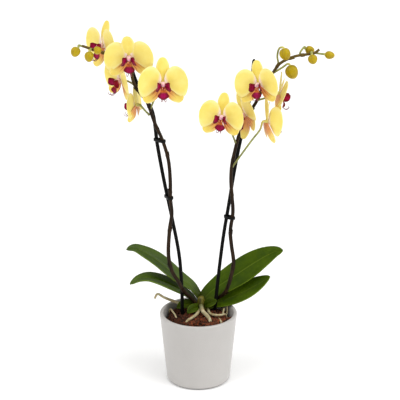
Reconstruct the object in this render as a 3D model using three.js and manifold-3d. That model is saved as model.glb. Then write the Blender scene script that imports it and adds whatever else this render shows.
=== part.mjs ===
// Potted moth orchid: two flower stems on support sticks, in a ceramic pot filled with bark.
// Millimetres, +Z up. The origin is the middle of the pot's underside, and the plant faces -Y.
import * as THREE from "three";
import { mergeVertices } from "three/addons/utils/BufferGeometryUtils.js";
import Module from "manifold-3d";

const wasm = await Module();
wasm.setup();

// Driving dimensions.
const CLEARANCE = 0.3; // between neighbours that touch in life
const POT = { height: 125, rimRadius: 67.5, footRadius: 51, wall: 6.5, floor: 8, rounding: 5, sides: 32 };
const BARK = { level: 109, chips: 21, chipLength: 34, chipWidth: 23, chipDepth: 9, spread: 51, seed: 7 };
const LEAF = { thickness: 2, groove: 5, tip: 0.1, base: 0.4, rows: 7, columns: 4 };
const STEM_RADIUS = 2.8;
const STICK_RADIUS = 2.9;
const ROOT_RADIUS = 2.2;
const PEDICEL = { radius: 1.4, hubRadius: 4.8, taper: 4.5 };
const CLIP = { wall: 1.8, height: 4.5, tabWidth: 4 };

// Tepals and lip of a full-sized bloom, in the bloom's own frame: x to its right, y backwards, z up.
const PETAL = {
  reach: 40, halfWidth: 25, claw: 0.1, skew: 1.15, fullness: 0.42, depth: -0.4, sweep: -5, bend: -3,
  lower: { halfWidth: 27, claw: 0.12, skew: 1.5, fullness: 0.7 },
};
const DORSAL = {
  reach: 42.5, halfWidth: 10.5, claw: 0.3, skew: 1.35, fullness: 0.7, depth: 1.7, sweep: 1, bend: 2,
};
const LATERAL = {
  reach: 40, halfWidth: 12, claw: 0.3, skew: 1.25, fullness: 0.75, depth: 1.7, sweep: 0.5, bend: -10,
};
const SIDE_LOBE = { halfWidth: 7.5, claw: 0.2, skew: 1.3, fullness: 0.6 };
const MIDDLE_LOBE = { halfWidth: 9, claw: 0.36, skew: 2.1, fullness: 2.6 };
const PETAL_RISE = 14; // degrees that each petal points above the horizontal
const LATERAL_SPREAD = 49; // degrees between each lower sepal and straight down
const BLADE = 1; // thickness of a tepal and of the lip
const BLADE_START = 3.8; // where each petal and lower sepal leaves the hub
const DORSAL_START = 1; // where the upper sepal leaves it

const finish = (color, roughness) => new THREE.MeshStandardMaterial({ color, roughness, metalness: 0 });
const MATERIALS = {
  ceramic: finish(0xc9c5c0, 0.45),
  bark: finish(0x4a2a1b, 0.95),
  crown: finish(0x7c8a30, 0.6),
  leaf: finish(0x466a1c, 0.4),
  root: finish(0xa9ab86, 0.8),
  stem: finish(0x3b2c1a, 0.6),
  stick: finish(0x17191a, 0.5),
  tepal: finish(0xf4dd6a, 0.5),
  lip: finish(0x93064b, 0.45),
  bud: finish(0xb9a233, 0.5),
};

const orchid = new THREE.Group();

// ---------- Shape helpers ----------

// A seeded random number from 0 to 1.
function randomSource(seed) {
  let state = seed;
  return () => {
    state = (Math.imul(state, 1664525) + 1013904223) >>> 0;
    return state / 4294967296;
  };
}

function vector([x, y, z]) {
  return new THREE.Vector3(x, y, z);
}

// A closed geometry as a solid that can be joined and cut.
function solidOf(geometry) {
  const bare = new THREE.BufferGeometry();
  bare.setAttribute("position", geometry.getAttribute("position"));
  bare.setIndex(geometry.getIndex());
  const merged = mergeVertices(bare, 1e-4);
  const corners = merged.getIndex().array;
  const kept = [];
  for (let i = 0; i < corners.length; i += 3) {
    const [a, b, c] = [corners[i], corners[i + 1], corners[i + 2]];
    if (a !== b && b !== c && c !== a) kept.push(a, b, c);
  }
  const positions = new Float32Array(merged.getAttribute("position").array);
  return new wasm.Manifold(
    new wasm.Mesh({ numProp: 3, vertProperties: positions, triVerts: new Uint32Array(kept) }),
  );
}

function fuse(solids) {
  return solids.reduce((whole, piece) => whole.add(piece));
}

// The largest body of a cut solid: loose scraps are dropped.
function largestBody(solid) {
  const bodies = solid.decompose();
  return bodies.reduce((best, body) => (body.volume() > best.volume() ? body : best));
}

function addPiece(name, solid, material) {
  const cut = largestBody(solid).getMesh();
  const geometry = new THREE.BufferGeometry();
  geometry.setAttribute("position", new THREE.BufferAttribute(new Float32Array(cut.vertProperties), 3));
  geometry.setIndex(new THREE.BufferAttribute(new Uint32Array(cut.triVerts), 1));
  geometry.computeVertexNormals();
  const mesh = new THREE.Mesh(geometry, material);
  mesh.name = name;
  orchid.add(mesh);
}

// A closed blade about a middle surface: middle(s, t), s from 0 to 1 along it and t from -1 to 1 across it.
// Both faces are split into triangles alike, and the rows lie closer together near the two ends.
function blade(middle, thickness, rows, columns) {
  const step = 1e-3;
  const positions = [];
  for (const half of [thickness / 2, -thickness / 2]) {
    for (let row = 0; row <= rows; row++) {
      const s = 0.5 - 0.5 * Math.cos((Math.PI * row) / rows);
      for (let column = 0; column <= columns; column++) {
        const t = (2 * column) / columns - 1;
        const along = middle(s + step, t).sub(middle(s - step, t));
        const across = middle(s, t + step).sub(middle(s, t - step));
        const point = middle(s, t).addScaledVector(across.cross(along).normalize(), half);
        positions.push(point.x, point.y, point.z);
      }
    }
  }
  const layer = (rows + 1) * (columns + 1);
  const at = (side, row, column) => side * layer + row * (columns + 1) + column;
  const corners = [];
  for (let row = 0; row < rows; row++) {
    for (let column = 0; column < columns; column++) {
      const [a, b] = [at(0, row, column), at(0, row, column + 1)];
      const [c, d] = [at(0, row + 1, column + 1), at(0, row + 1, column)];
      corners.push(a, b, c, a, c, d);
      corners.push(a + layer, c + layer, b + layer, a + layer, d + layer, c + layer);
    }
  }
  const rim = [];
  for (let column = 0; column < columns; column++) rim.push(at(0, 0, column));
  for (let row = 0; row < rows; row++) rim.push(at(0, row, columns));
  for (let column = columns; column > 0; column--) rim.push(at(0, rows, column));
  for (let row = rows; row > 0; row--) rim.push(at(0, row, 0));
  rim.forEach((a, i) => {
    const b = rim[(i + 1) % rim.length];
    corners.push(a, a + layer, b, b, a + layer, b + layer);
  });
  const geometry = new THREE.BufferGeometry();
  geometry.setAttribute("position", new THREE.Float32BufferAttribute(positions, 3));
  geometry.setIndex(corners);
  return geometry;
}

// A closed round limb along a smooth line through the points, with a radius for each distance along it.
function limb(points, radiusAt, sides, steps) {
  const curve = new THREE.CatmullRomCurve3(points, false, "centripetal");
  const length = curve.getLength();
  const frames = curve.computeFrenetFrames(steps);
  const rod = new THREE.CylinderGeometry(1, 1, 1, sides, steps);
  const position = rod.getAttribute("position");
  for (let i = 0; i < position.count; i++) {
    const ring = Math.round((position.getY(i) + 0.5) * steps);
    const radius = radiusAt((length * ring) / steps, length);
    const point = curve.getPointAt(ring / steps);
    point.addScaledVector(frames.binormals[ring], position.getX(i) * radius);
    point.addScaledVector(frames.normals[ring], position.getZ(i) * radius);
    position.setXYZ(i, point.x, point.y, point.z);
  }
  return rod;
}

// ---------- Pot ----------

// The outer or inner wall is a straight taper; the lip and the foot are quarter rounds.
function potOuterRadius(z) {
  const taper = POT.rimRadius - POT.footRadius - POT.rounding;
  return POT.rimRadius - (taper * (POT.height - z)) / POT.height;
}

function quarter(x, z, radius, from, to, steps) {
  const points = [];
  for (let i = 0; i <= steps; i++) {
    const angle = THREE.MathUtils.degToRad(from + ((to - from) * i) / steps);
    points.push(new THREE.Vector2(x + radius * Math.cos(angle), z + radius * Math.sin(angle)));
  }
  return points;
}

function revolved(profile, sides) {
  return new THREE.LatheGeometry(profile, sides).rotateX(Math.PI / 2);
}

function pot() {
  const lip = POT.wall / 2;
  const innerFoot = potOuterRadius(POT.floor) - POT.wall;
  const profile = [
    new THREE.Vector2(0, 0),
    ...quarter(POT.footRadius, POT.rounding, POT.rounding, -90, 0, 2),
    ...quarter(POT.rimRadius - lip, POT.height - lip, lip, 0, 180, 5),
    new THREE.Vector2(innerFoot, POT.floor + POT.rounding),
    new THREE.Vector2(innerFoot - POT.rounding, POT.floor),
    new THREE.Vector2(0, POT.floor),
  ];
  return solidOf(revolved(profile, POT.sides));
}

// ---------- Crown, roots, sticks and stems: the lines that they follow ----------

const CROWN_LINE = [[6, 36, 88], [6, 34, 112], [5, 32, 128], [4, 31, 139]];

const ROOT_LINES = {
  root_over_rim_left: {
    scale: 1.25,
    line: [
      [-3, 30, 121], [-15, 27, 126], [-33, 24, 130], [-47, 22, 136], [-61, 20, 143],
      [-72, 18, 150], [-77, 17, 142],
    ],
  },
  root_thin_left: {
    scale: 0.75,
    line: [[-52, 24, 104], [-50, 22, 119], [-45, 13, 118], [-39, -4, 115], [-35, -12, 102]],
  },
  root_fork_left: {
    scale: 1.2,
    line: [[2, 20, 121], [-3, 1, 119], [-11, -9, 117], [-20, -21, 115], [-25, -27, 101]],
  },
  root_large_front: {
    scale: 1.6,
    line: [[4, 20, 128], [8, 9, 121], [15, -2, 118], [20, -17, 116], [23, -26, 101]],
  },
  root_right_arm: {
    scale: 1.05,
    line: [[16, 21, 121], [21, 6, 118], [31, -3, 119], [39, -3, 119], [47, 4, 117], [51, 8, 103]],
  },
  root_right_branch: { scale: 1, line: [[35, -11, 116], [39, -19, 114], [42, -26, 102]] },
  root_right_small: { scale: 0.8, line: [[42, 12, 103], [44, 16, 118], [46, 26, 119], [47, 32, 104]] },
  root_over_rim_right: {
    scale: 0.8,
    line: [[41, 36, 104], [43, 34, 120], [47, 30, 131], [51, 24, 124], [49, 17, 106]],
  },
};

const STICK_LINES = {
  stick_left: [
    [-25, 10, 40], [-28, 9, 108], [-29, 8, 164], [-33, 7, 226], [-45, 4, 297], [-58, 0, 366],
    [-68, -2, 427], [-76, -4, 486], [-91, -8, 515], [-102, -13, 540], [-109, -19, 568],
    [-113, -25, 603],
  ],
  stick_right: [
    [27, 27, 40], [29, 26, 110], [33, 24, 161], [43, 21, 255], [52, 20, 315], [60, 20, 369],
    [67.5, 21, 412], [76.5, 22, 457], [85, 20, 500], [91.5, 16, 568],
  ],
};

const STEM_LINES = {
  stem_left: [
    [-6, 24, 131], [-15, 12, 147], [-26, 0, 164], [-35, -4, 183], [-45, -6, 202], [-51, -6, 230],
    [-49, -6, 278], [-45, -7, 308], [-47, -9, 336], [-47, -10, 369], [-50, -11, 405],
    [-59, -13, 438], [-72, -15, 470], [-84, -18, 505], [-97, -20, 523], [-105, -23, 540],
    [-109, -28, 565], [-115, -34, 585], [-130, -42, 594], [-149, -46, 591], [-165, -48, 596],
    [-183, -48, 602],
  ],
  stem_right: [
    [15, 37, 127], [26, 37, 132], [37, 31, 139], [46, 20, 151], [52, 12, 168], [57, 10, 188],
    [61, 10, 212], [57, 10, 245], [55, 11, 270], [59, 11, 305], [57, 9, 335], [55, 5, 364],
    [56, 2, 390], [61, 3, 416], [68, 6, 443], [79, 7, 471], [96, 4, 500], [108, -3, 529],
    [120, -12, 550], [132, -14, 567], [154, -18, 579], [174, -20, 583], [186, -20, 585],
    [194, -20, 591],
  ],
};

function crown() {
  const radiusAt = (distance, length) => 10 - 5 * (distance / length) ** 3;
  return solidOf(limb(CROWN_LINE.map(vector), radiusAt, 8, 4));
}

function stick(name, extra) {
  const radiusAt = (distance, length) => (distance > length - 1 ? 1.6 : STICK_RADIUS) + extra;
  return solidOf(limb(STICK_LINES[name].map(vector), radiusAt, 6, 11));
}

function stem(name, extra) {
  const radiusAt = (distance, length) => STEM_RADIUS * (1.12 - 0.42 * (distance / length) ** 2) + extra;
  return solidOf(limb(STEM_LINES[name].map(vector), radiusAt, 6, 26));
}

function root(name, extra) {
  const { scale, line } = ROOT_LINES[name];
  const radiusAt = (distance, length) => ROOT_RADIUS * scale * (1 - 0.35 * (distance / length) ** 2) + extra;
  return solidOf(limb(line.map(vector), radiusAt, 5, 7));
}

// ---------- Bark ----------

// An irregular chip: a box whose eight corners are each moved a little.
function chip(random) {
  const jitter = () => 0.75 + 0.5 * random();
  const [length, width, depth] = [BARK.chipLength, BARK.chipWidth, BARK.chipDepth].map((d) => d * jitter());
  const box = new THREE.BoxGeometry(length, width, depth);
  box.deleteAttribute("normal");
  box.deleteAttribute("uv");
  const merged = mergeVertices(box);
  const position = merged.getAttribute("position");
  for (let i = 0; i < position.count; i++) {
    position.setXYZ(i, position.getX(i) * jitter(), position.getY(i) * jitter(), position.getZ(i) * jitter());
  }
  return merged;
}

// What the pot can hold, up to a height a little over the chips.
function potFilling(top) {
  const foot = potOuterRadius(POT.floor) - POT.wall - CLEARANCE;
  const brim = potOuterRadius(POT.height) - POT.wall - CLEARANCE - 0.6;
  const profile = [
    new THREE.Vector2(0, POT.floor + CLEARANCE),
    new THREE.Vector2(foot - POT.rounding, POT.floor + CLEARANCE),
    new THREE.Vector2(foot, POT.floor + POT.rounding + CLEARANCE),
    new THREE.Vector2(foot + ((brim - foot) * (top - POT.floor)) / (POT.height - POT.floor), top),
    new THREE.Vector2(0, top),
  ];
  return solidOf(revolved(profile, POT.sides));
}

function barkHeap() {
  const random = randomSource(BARK.seed);
  const goldenAngle = Math.PI * (3 - Math.sqrt(5));
  const chips = [];
  for (let i = 0; i < BARK.chips; i++) {
    const radius = BARK.spread * Math.sqrt((i + 0.5) / BARK.chips);
    const piece = chip(random);
    piece.rotateX(0.5 * (random() - 0.5));
    piece.rotateY(0.6 * (random() - 0.5));
    piece.rotateZ(2 * Math.PI * random());
    const height = BARK.level + 1.5 * (random() - 0.5);
    piece.translate(radius * Math.cos(i * goldenAngle), radius * Math.sin(i * goldenAngle), height);
    chips.push(solidOf(piece));
  }
  const heap = fuse([potFilling(BARK.level), ...chips]);
  return heap.intersect(potFilling(BARK.level + 14));
}

// ---------- Leaves ----------

// Each leaf follows its midrib; facing is the way that its upper side looks.
const LEAVES = {
  leaf_left_upper: {
    halfWidth: 20, facing: [0.5, -0.38, 0.75],
    midrib: [
      [1, 37, 138], [-12, 38, 156], [-33, 37, 172], [-53, 35, 190], [-76, 32, 211], [-97, 30, 225],
      [-112, 29, 232], [-125, 28, 230],
    ],
  },
  leaf_left_lower: {
    halfWidth: 19, facing: [0.15, -0.2, 0.95],
    midrib: [
      [-4, 33, 125], [-16, 32, 140], [-32, 30, 152], [-53, 27, 165], [-73, 23, 175],
      [-90, 20, 180], [-106, 17, 178], [-119, 15, 170],
    ],
  },
  leaf_right_upper: {
    halfWidth: 26, facing: [-0.35, -0.72, 0.58],
    midrib: [
      [6, 35, 129], [22, 42, 144], [44, 44, 160], [72, 43, 180], [97, 40, 199], [119, 36, 215],
      [135, 33, 224], [147, 31, 227],
    ],
  },
  leaf_right_lower: {
    halfWidth: 22, facing: [-0.25, -0.5, 0.82],
    midrib: [[14, 34, 120], [31, 37, 126], [54, 35, 135], [83, 31, 150], [105, 27, 165], [125, 22, 181]],
  },
  leaf_small_right: {
    halfWidth: 9, facing: [-0.2, -0.75, 0.6],
    midrib: [[11, 26, 124], [17, 22, 130], [24, 19, 134], [32, 18, 137]],
  },
  leaf_small_left_back: {
    halfWidth: 9, facing: [0.1, -0.75, 0.6],
    midrib: [[-2, 26, 123], [-13, 22.5, 129], [-26, 19.5, 130], [-38, 17, 124]],
  },
  leaf_small_left_front: {
    halfWidth: 8, facing: [0.1, -0.8, 0.5],
    midrib: [[0, 22, 124], [-6, 14, 126], [-13, 7, 125], [-19, 1, 121]],
  },
};

// A leathery blade, widest past its middle, blunt at the tip and grooved along the midrib.
function leaf(name, extra) {
  const { halfWidth, facing, midrib } = LEAVES[name];
  const small = halfWidth < 12;
  const curve = new THREE.CatmullRomCurve3(midrib.map(vector), false, "centripetal");
  const up = vector(facing).normalize();
  const clasp = (s) => LEAF.tip + (LEAF.base - LEAF.tip) * (1 - s) ** 4;
  const outline = (s) => clasp(s) + 0.8 * Math.sin(Math.PI * s ** 1.15) ** 0.75;
  const middle = (s, t) => {
    const u = THREE.MathUtils.clamp(s, 0, 1);
    const tangent = curve.getTangentAt(u);
    const side = tangent.clone().cross(up).normalize();
    const normal = side.clone().cross(tangent);
    const width = (halfWidth + extra) * outline(u);
    const fold = LEAF.groove * (width / halfWidth) * (Math.abs(t) - 0.35 * t * t);
    return curve
      .getPointAt(u)
      .addScaledVector(tangent, (s - u) * 100)
      .addScaledVector(side, -width * t)
      .addScaledVector(normal, fold);
  };
  const [rows, columns] = small ? [4, 2] : [LEAF.rows, LEAF.columns];
  return solidOf(blade(middle, LEAF.thickness + 2 * extra, rows, columns));
}

// ---------- Blooms ----------

// Each bloom's middle, the way it turns in degrees (yaw to its left or right, nod downwards, roll clockwise),
// its size, and the line of its pedicel from behind it to its stem. A cup brings the petals' tips forward by
// so many millimetres. In degrees, a lean tips the upper sepal forward, a spread opens the two lower sepals,
// and a twist turns both of them towards the bloom's right.
const BLOOMS = {
  left_1: {
    at: [-155, 0, 594], yaw: -47, nod: 3, roll: -2, size: 0.94, cup: -4, lean: -14, spread: 46, twist: 21,
    stem: "stem_left",
    pedicel: [[-137, 9, 592], [-124, -8, 587], [-111, -31, 572]],
  },
  left_2: {
    at: [-109, -54, 585], yaw: 0, nod: 16, roll: -2, size: 0.98, lean: 18, stem: "stem_left",
    pedicel: [[-105, -39, 586], [-103, -31, 575], [-107, -25, 552]],
  },
  left_3: {
    at: [-56, -57, 543], yaw: 5, nod: 5, roll: 0, size: 1, stem: "stem_left",
    pedicel: [[-57, -42, 542], [-65, -28, 525], [-79, -16, 490]],
  },
  left_4: {
    at: [-128, 3, 536], yaw: -55, nod: 8, roll: 4, size: 0.9, stem: "stem_left",
    pedicel: [[-119, 7, 535], [-112, -6, 535], [-104, -22, 534]],
  },
  left_5: {
    at: [-103, -12, 498], yaw: -108, nod: 4, roll: 4, size: 0.8, cup: -6, lean: 3, stem: "stem_left",
    pedicel: [[-93, -17, 497], [-87, -18, 490], [-80, -16, 482]],
  },
  right_1: {
    at: [38, -45, 486], yaw: -12, nod: 2, roll: 3, size: 0.92, lean: -15, stem: "stem_right",
    pedicel: [[45, -24, 474], [53, -10, 455], [62, 3, 430]],
  },
  right_2: {
    at: [96, -45, 539], yaw: -23, nod: 3, roll: -7, size: 0.92, cup: 4, stem: "stem_right",
    pedicel: [[99, -28, 541], [101, -16, 535], [104, -1, 520]],
  },
  right_3: {
    at: [76, -8, 480], yaw: -55, nod: 4, roll: -32, size: 0.98, spread: 33, twist: 5, stem: "stem_right",
    pedicel: [[84, 1, 474], [80, 4, 462], [71, 7, 452]],
  },
  right_4: {
    at: [133, -8, 515], yaw: 92, nod: 20, roll: 4, size: 0.86, cup: -5, lean: -9, stem: "stem_right",
    pedicel: [[117, -8, 511], [108, -4, 507], [97, 4, 502]],
  },
  right_5: {
    at: [113, -30, 475], yaw: 106, nod: 2, roll: 0, size: 0.92, cup: 5, spread: 33, stem: "stem_right",
    pedicel: [[101, -26, 460], [89, -18, 441], [66, -4, 403], [57, 2, 388]],
  },
};

function bloomMatrix({ at, yaw, nod, roll }) {
  const turn = new THREE.Euler(...[nod, roll, yaw].map(THREE.MathUtils.degToRad), "ZXY");
  return new THREE.Matrix4().makeRotationFromEuler(turn).setPosition(...at);
}

// One tepal, which leaves the bloom's middle at an angle in degrees from the bloom's right. A petal has an
// outline of its own along its lower edge.
function tepal(shape, angle, size, cup, lean) {
  const start = shape === DORSAL ? DORSAL_START : BLADE_START;
  const direction = THREE.MathUtils.degToRad(angle);
  const tip = THREE.MathUtils.degToRad(lean);
  const [along, across] = [Math.cos(direction), Math.sin(direction)];
  const middle = (s, t) => {
    const u = THREE.MathUtils.clamp(s, 0, 1);
    const reach = size * (start + (shape.reach - start) * s);
    const edge = shape.lower && t * along < 0 ? shape.lower : shape;
    const outline = edge.claw + (1 - edge.claw) * Math.sin(Math.PI * u ** edge.skew) ** edge.fullness;
    const offset = size * edge.halfWidth * outline * t;
    const bend = size * ((shape.sweep - cup) * s + shape.bend * (s ** 3 + 0.25 * t * t * u));
    const outwards = reach * Math.cos(tip) + bend * Math.sin(tip);
    const backwards = bend * Math.cos(tip) - reach * Math.sin(tip);
    return new THREE.Vector3(
      along * outwards - across * offset,
      shape.depth + backwards,
      across * outwards + along * offset,
    );
  };
  return middle;
}

function bloom(name) {
  const { size, stem: carrier, pedicel } = BLOOMS[name];
  const { cup = 0, lean = 0, spread = LATERAL_SPREAD, twist = 0 } = BLOOMS[name];
  const matrix = bloomMatrix(BLOOMS[name]);
  const blades = [
    blade(tepal(PETAL, PETAL_RISE, size, cup, 0), BLADE, 5, 3),
    blade(tepal(PETAL, 180 - PETAL_RISE, size, cup, 0), BLADE, 5, 3),
    blade(tepal(DORSAL, 90, size, 0, lean), BLADE, 4, 2),
    blade(tepal(LATERAL, 270 + twist + spread, size, 0, 0), BLADE, 4, 2),
    blade(tepal(LATERAL, 270 + twist - spread, size, 0, 0), BLADE, 4, 2),
  ];
  const line = [[0, -1.2, 0], [0, 3, 0], [0, 8, 0]].map((p) => vector(p).applyMatrix4(matrix));
  line.push(...pedicel.map(vector));
  const { radius, hubRadius, taper } = PEDICEL;
  const radiusAt = (distance) => radius + (hubRadius - radius) * Math.exp(-distance / taper);
  const stalk = solidOf(limb(line, radiusAt, 5, 6));
  const fused = fuse([...blades.map((b) => solidOf(b.applyMatrix4(matrix))), stalk]);
  return fused.subtract(stem(carrier, CLEARANCE));
}

// The lip: two upright side lobes, a middle lobe that ends in two curled tendrils, and the column over them.
function lip(name) {
  const { size } = BLOOMS[name];
  const matrix = bloomMatrix(BLOOMS[name]);
  const scaled = (points) => points.map(([x, y, z]) => new THREE.Vector3(x * size, y * size - 1.8, z * size));
  const lobe = (points, { halfWidth, claw, skew, fullness }, facing) => {
    const curve = new THREE.CatmullRomCurve3(scaled(points));
    const across = vector(facing).normalize();
    return (s, t) => {
      const u = THREE.MathUtils.clamp(s, 0, 1);
      const outline = claw + (1 - claw) * Math.sin(Math.PI * u ** skew) ** fullness;
      return curve
        .getPointAt(u)
        .addScaledVector(curve.getTangentAt(u), (s - u) * 20)
        .addScaledVector(across, size * halfWidth * outline * t);
    };
  };
  const column = scaled([[0, 0, 0], [0, -3, 0], [0, -9, 1]]);
  const pieces = [limb(column, (distance) => 4.3 - 0.22 * distance, 6, 2)];
  for (const side of [-1, 1]) {
    const sideLine = [
      [2 * side, -3, -2.4], [5.5 * side, -7, -3], [8.8 * side, -12, -1.5], [9.5 * side, -18, 1.5],
    ];
    pieces.push(blade(lobe(sideLine, SIDE_LOBE, [-0.2 * side, 0.1, 1]), BLADE, 3, 2));
    const tendril = [
      [0.9 * side, -12, -20.5], [2 * side, -15.5, -25], [3.2 * side, -20.5, -26.5],
      [3.8 * side, -24.5, -23], [3.6 * side, -24, -19.5],
    ];
    pieces.push(limb(scaled(tendril), (d, length) => 0.75 - (0.3 * d) / length, 3, 3));
  }
  const middleLine = [[0, -2.6, -2], [0, -7.5, -8.5], [0, -11.5, -15], [0, -12, -22.5]];
  pieces.push(blade(lobe(middleLine, MIDDLE_LOBE, [1, 0, 0]), BLADE, 3, 2));
  return fuse(pieces.map((piece) => solidOf(piece.applyMatrix4(matrix))));
}

// ---------- Buds ----------

const BUDS = {
  left_1: {
    at: [-193, -52, 593], radius: 7.6, length: 8.2, axis: [-0.5, 0, -0.85], stem: "stem_left",
    pedicel: [[-188, -50, 603], [-181, -48, 601]],
  },
  left_2: {
    at: [-171, -60, 587], radius: 7.2, length: 8.4, axis: [-0.1, -0.15, -0.98], stem: "stem_left",
    pedicel: [[-169, -56, 598], [-169, -48, 597]],
  },
  left_3: {
    at: [-158, -59, 597], radius: 6.2, length: 6.8, axis: [-0.2, -0.9, 0.2], stem: "stem_left",
    pedicel: [[-157, -50, 595], [-157, -47, 593]],
  },
  right_1: {
    at: [139, -28, 585], radius: 9, length: 9.8, axis: [0.3, 0, -0.95], stem: "stem_right",
    pedicel: [[130, -24, 594], [127, -18, 580], [130, -14, 565]],
  },
  right_2: {
    at: [151, -23, 555], radius: 10.4, length: 11.6, axis: [0.35, 0, -0.93], stem: "stem_right",
    pedicel: [[144, -22, 568], [135, -18, 561], [120, -12, 550]],
  },
  right_3: {
    at: [180, -9, 588], radius: 6.8, length: 7.6, axis: [0.9, 0.1, -0.3], stem: "stem_right",
    pedicel: [[171, -13, 594], [165, -17, 588], [162, -19, 581]],
  },
  right_4: {
    at: [183, -31, 577], radius: 7.6, length: 7.8, axis: [0.2, -0.3, -0.9], stem: "stem_right",
    pedicel: [[181, -27, 588], [180, -20, 584]],
  },
  right_5: {
    at: [211, -20, 582], radius: 6.4, length: 8, axis: [1, 0, -0.15], stem: "stem_right",
    pedicel: [[196, -20, 584], [188, -20, 585]],
  },
};

// An ovoid with three shallow seams where the closed sepals meet.
function bud(name) {
  const { at, radius, length, axis, stem: carrier, pedicel } = BUDS[name];
  const body = new THREE.SphereGeometry(1, 8, 5);
  const position = body.getAttribute("position");
  for (let i = 0; i < position.count; i++) {
    const [x, y, z] = [position.getX(i), position.getY(i), position.getZ(i)];
    const girth = radius * (1 + 0.05 * Math.cos(3 * Math.atan2(z, x))) * (1 - 0.12 * y);
    position.setXYZ(i, x * girth, y * length, z * girth);
  }
  const direction = vector(axis).normalize();
  const turn = new THREE.Quaternion().setFromUnitVectors(new THREE.Vector3(0, 1, 0), direction);
  body.applyQuaternion(turn).translate(...at);
  const line = [0.7, 1.12].map((share) => vector(at).addScaledVector(direction, -share * length));
  line.push(...pedicel.map(vector));
  const radiusAt = (distance) => PEDICEL.radius + 1.2 * Math.exp(-distance / 3);
  const stalk = limb(line, radiusAt, 4, 4);
  return fuse([solidOf(body), solidOf(stalk)]).subtract(stem(carrier, CLEARANCE));
}

// ---------- Clips ----------

const CLIPS = {
  clip_left_lower: { stick: "stick_left", stem: "stem_left", height: 337, tabs: [] },
  clip_left_middle: { stick: "stick_left", stem: "stem_left", height: 437, tabs: [] },
  clip_left_top: {
    stick: "stick_left", stem: "stem_left", height: 584, tabs: [[-1, 29, 0.07], [1, 26, 0.15]],
  },
  clip_right: { stick: "stick_right", stem: "stem_right", height: 294, tabs: [] },
};

// Where a line crosses a height.
function crossing(points, height) {
  const curve = new THREE.CatmullRomCurve3(points.map(vector), false, "centripetal");
  const samples = curve.getSpacedPoints(400);
  return samples.reduce((best, p) => (Math.abs(p.z - height) < Math.abs(best.z - height) ? p : best));
}

// A flat oval band round the stick and the stem. The top one has two finger tabs, each given by its side of
// the band, its length and its tilt outwards.
function clip({ stick: stickName, stem: stemName, height, tabs: fingers }) {
  const a = crossing(STICK_LINES[stickName], height);
  const b = crossing(STEM_LINES[stemName], height);
  const outer = STICK_RADIUS + CLEARANCE + CLIP.wall;
  const half = Math.hypot(b.x - a.x, b.y - a.y) / 2;
  const outline = new THREE.Shape();
  outline.absarc(half, 0, outer, -Math.PI / 2, Math.PI / 2, false);
  outline.absarc(-half, 0, outer, Math.PI / 2, (3 * Math.PI) / 2, false);
  const straight = { depth: CLIP.height, bevelEnabled: false, curveSegments: 2 };
  const band = new THREE.ExtrudeGeometry(outline, straight);
  const tabs = fingers.map(([side, length, tilt]) => {
    const tab = new THREE.BoxGeometry(CLIP.tabWidth, CLIP.wall, length);
    tab.translate(0, 0, length / 2);
    tab.rotateX(-side * tilt);
    return tab.translate(0, side * (outer - CLIP.wall / 2), 0);
  });
  const turn = Math.atan2(b.y - a.y, b.x - a.x);
  const pieces = [band, ...tabs].map((piece) => {
    piece.translate(0, 0, -CLIP.height / 2).rotateZ(turn);
    return solidOf(piece.translate((a.x + b.x) / 2, (a.y + b.y) / 2, height));
  });
  return fuse(pieces).subtract(stick(stickName, CLEARANCE)).subtract(stem(stemName, CLEARANCE));
}

// ---------- The whole plant, from the pot up ----------

addPiece("pot", pot(), MATERIALS.ceramic);

const rooted = [solidOf(limb(CROWN_LINE.map(vector), () => 10 + CLEARANCE, 8, 4))];
rooted.push(...Object.keys(ROOT_LINES).map((name) => root(name, CLEARANCE)));
rooted.push(...Object.keys(STICK_LINES).map((name) => stick(name, CLEARANCE)));
addPiece("bark_bed", rooted.reduce((heap, hole) => heap.subtract(hole), barkHeap()), MATERIALS.bark);

const fatCrown = rooted[0];
addPiece("crown", crown(), MATERIALS.crown);

const lowPieces = [fatCrown, stick("stick_left", CLEARANCE), stick("stick_right", CLEARANCE)];
lowPieces.push(stem("stem_left", CLEARANCE), stem("stem_right", CLEARANCE));
const clearOf = (solid, others) => others.reduce((left, other) => left.subtract(other), solid);
for (const name of Object.keys(STICK_LINES)) addPiece(name, stick(name, 0), MATERIALS.stick);
for (const name of Object.keys(STEM_LINES)) addPiece(name, stem(name, 0).subtract(fatCrown), MATERIALS.stem);
for (const name of Object.keys(LEAVES)) {
  addPiece(name, clearOf(leaf(name, 0), lowPieces), MATERIALS.leaf);
  lowPieces.push(leaf(name, CLEARANCE));
}
for (const name of Object.keys(ROOT_LINES)) {
  addPiece(name, clearOf(root(name, 0), lowPieces), MATERIALS.root);
  lowPieces.push(root(name, CLEARANCE));
}
for (const name of Object.keys(CLIPS)) addPiece(name, clip(CLIPS[name]), MATERIALS.stick);
for (const name of Object.keys(BLOOMS)) {
  addPiece("bloom_" + name, bloom(name), MATERIALS.tepal);
  addPiece("lip_" + name, lip(name), MATERIALS.lip);
}
for (const name of Object.keys(BUDS)) addPiece("bud_" + name, bud(name), MATERIALS.bud);

export default orchid;
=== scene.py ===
import math
import random

import bmesh
import bpy
from mathutils import Euler, Matrix, Vector, noise


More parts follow.
